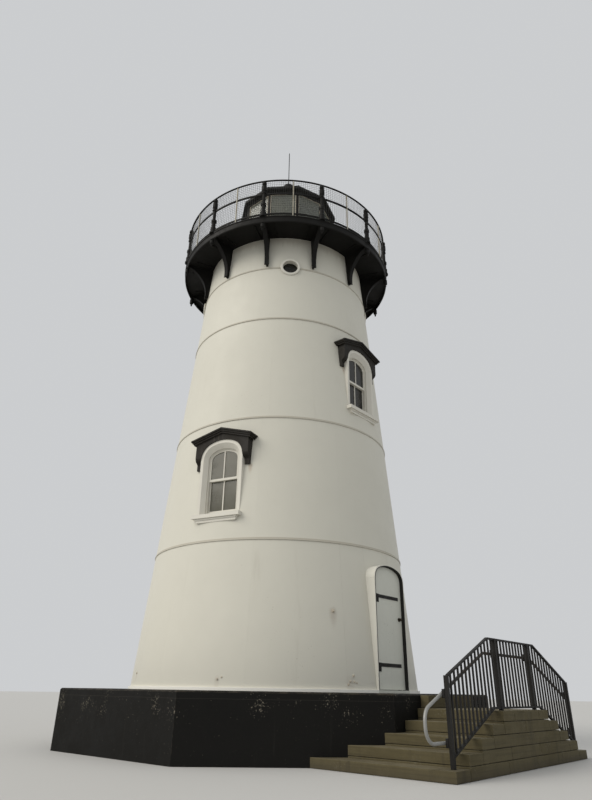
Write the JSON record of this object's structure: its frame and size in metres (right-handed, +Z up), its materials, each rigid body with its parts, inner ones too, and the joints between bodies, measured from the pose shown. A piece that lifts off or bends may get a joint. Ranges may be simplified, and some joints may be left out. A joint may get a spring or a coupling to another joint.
{
  "type": "cast-iron lighthouse",
  "caption": "Tapered cast-iron lighthouse on an octagonal plinth, with a railed gallery, a glazed lantern, hooded arched windows, an arched door that opens, and railed stone steps.",
  "frame": {"origin": "on the tower's axis at ground level, the middle of the plinth's flat underside", "axes": "+Z up along the tower's axis; the door and the steps face -Y; +X is to the right of the door seen from outside"},
  "size_m": [7.446, 8.785, 15.5428],
  "materials": {
    "black_paint": "weathered black paint, satin",
    "black_masonry": "black painted masonry, matt",
    "white_paint": "weathered white paint, matt",
    "bright_white": "white paint, satin",
    "door_grey": "grey-white paint, satin, scuffed",
    "clear_glass": "old window glass, clear",
    "brown_stone": "brown dressed stone, worn",
    "bare_iron": "brown-grey floor paint, worn",
    "rail_black": "dark grey-black paint, gloss worn",
    "galvanised": "galvanised, dull",
    "knob_brass": "tarnished",
    "rusty_white": "white paint with rust"
  },
  "bodies": {
    "tower": {"plinth": "black_masonry", "ground_floor": "bare_iron", "wall_course_1": "white_paint", "walls_beside_door": "white_paint", "wall_over_door": "white_paint", "wall_course_2": "white_paint", "wall_course_3": "white_paint", "wall_course_4": "white_paint", "wall_course_5": "white_paint", "door_jambs": "bright_white", "door_head": "bright_white", "door_sill": "bright_white", "hinge_pins": "rail_black", "window_surrounds": "bright_white", "window_sills": "bright_white", "window_sashes": "bright_white", "window_glass": "clear_glass", "window_hoods": "black_paint", "porthole_rims": "bright_white", "porthole_glass": "clear_glass", "gallery_consoles": "black_paint", "gallery_pendants": "black_paint", "gallery_deck": "black_paint", "gallery_rim": "black_paint", "gallery_posts": "black_paint", "gallery_stanchions": "rusty_white", "gallery_top_rail": "black_paint", "gallery_lower_rails": "black_paint", "lantern_floor": "black_paint", "lantern_posts": "black_paint", "lantern_parapet": "black_paint", "lantern_sills": "black_paint", "lantern_glass": "clear_glass", "lantern_eaves": "black_paint", "lantern_roof": "black_paint", "roof_ventilator": "black_paint", "lightning_rod": "rail_black", "near_steps": "brown_stone", "far_steps": "brown_stone", "landing_courses": "brown_stone", "door_step": "brown_stone", "railing_posts": "rail_black", "near_railing": "rail_black", "landing_railing": "rail_black", "far_railing": "rail_black", "handrail": "rail_black", "near_handrail_loop": "galvanised", "handrail_brackets": "rail_black"},
    "door": {"door_leaf": "door_grey", "hinge_straps": "rail_black", "door_knob": "knob_brass"}
  },
  "joints": [
    {"name": "door_hinge", "type": "hinge", "parent": "tower", "child": "door", "pos_m": [-0.432, -2.742, 2], "axis": [0, 0, -1], "range_deg": [0, 90]}
  ]
}
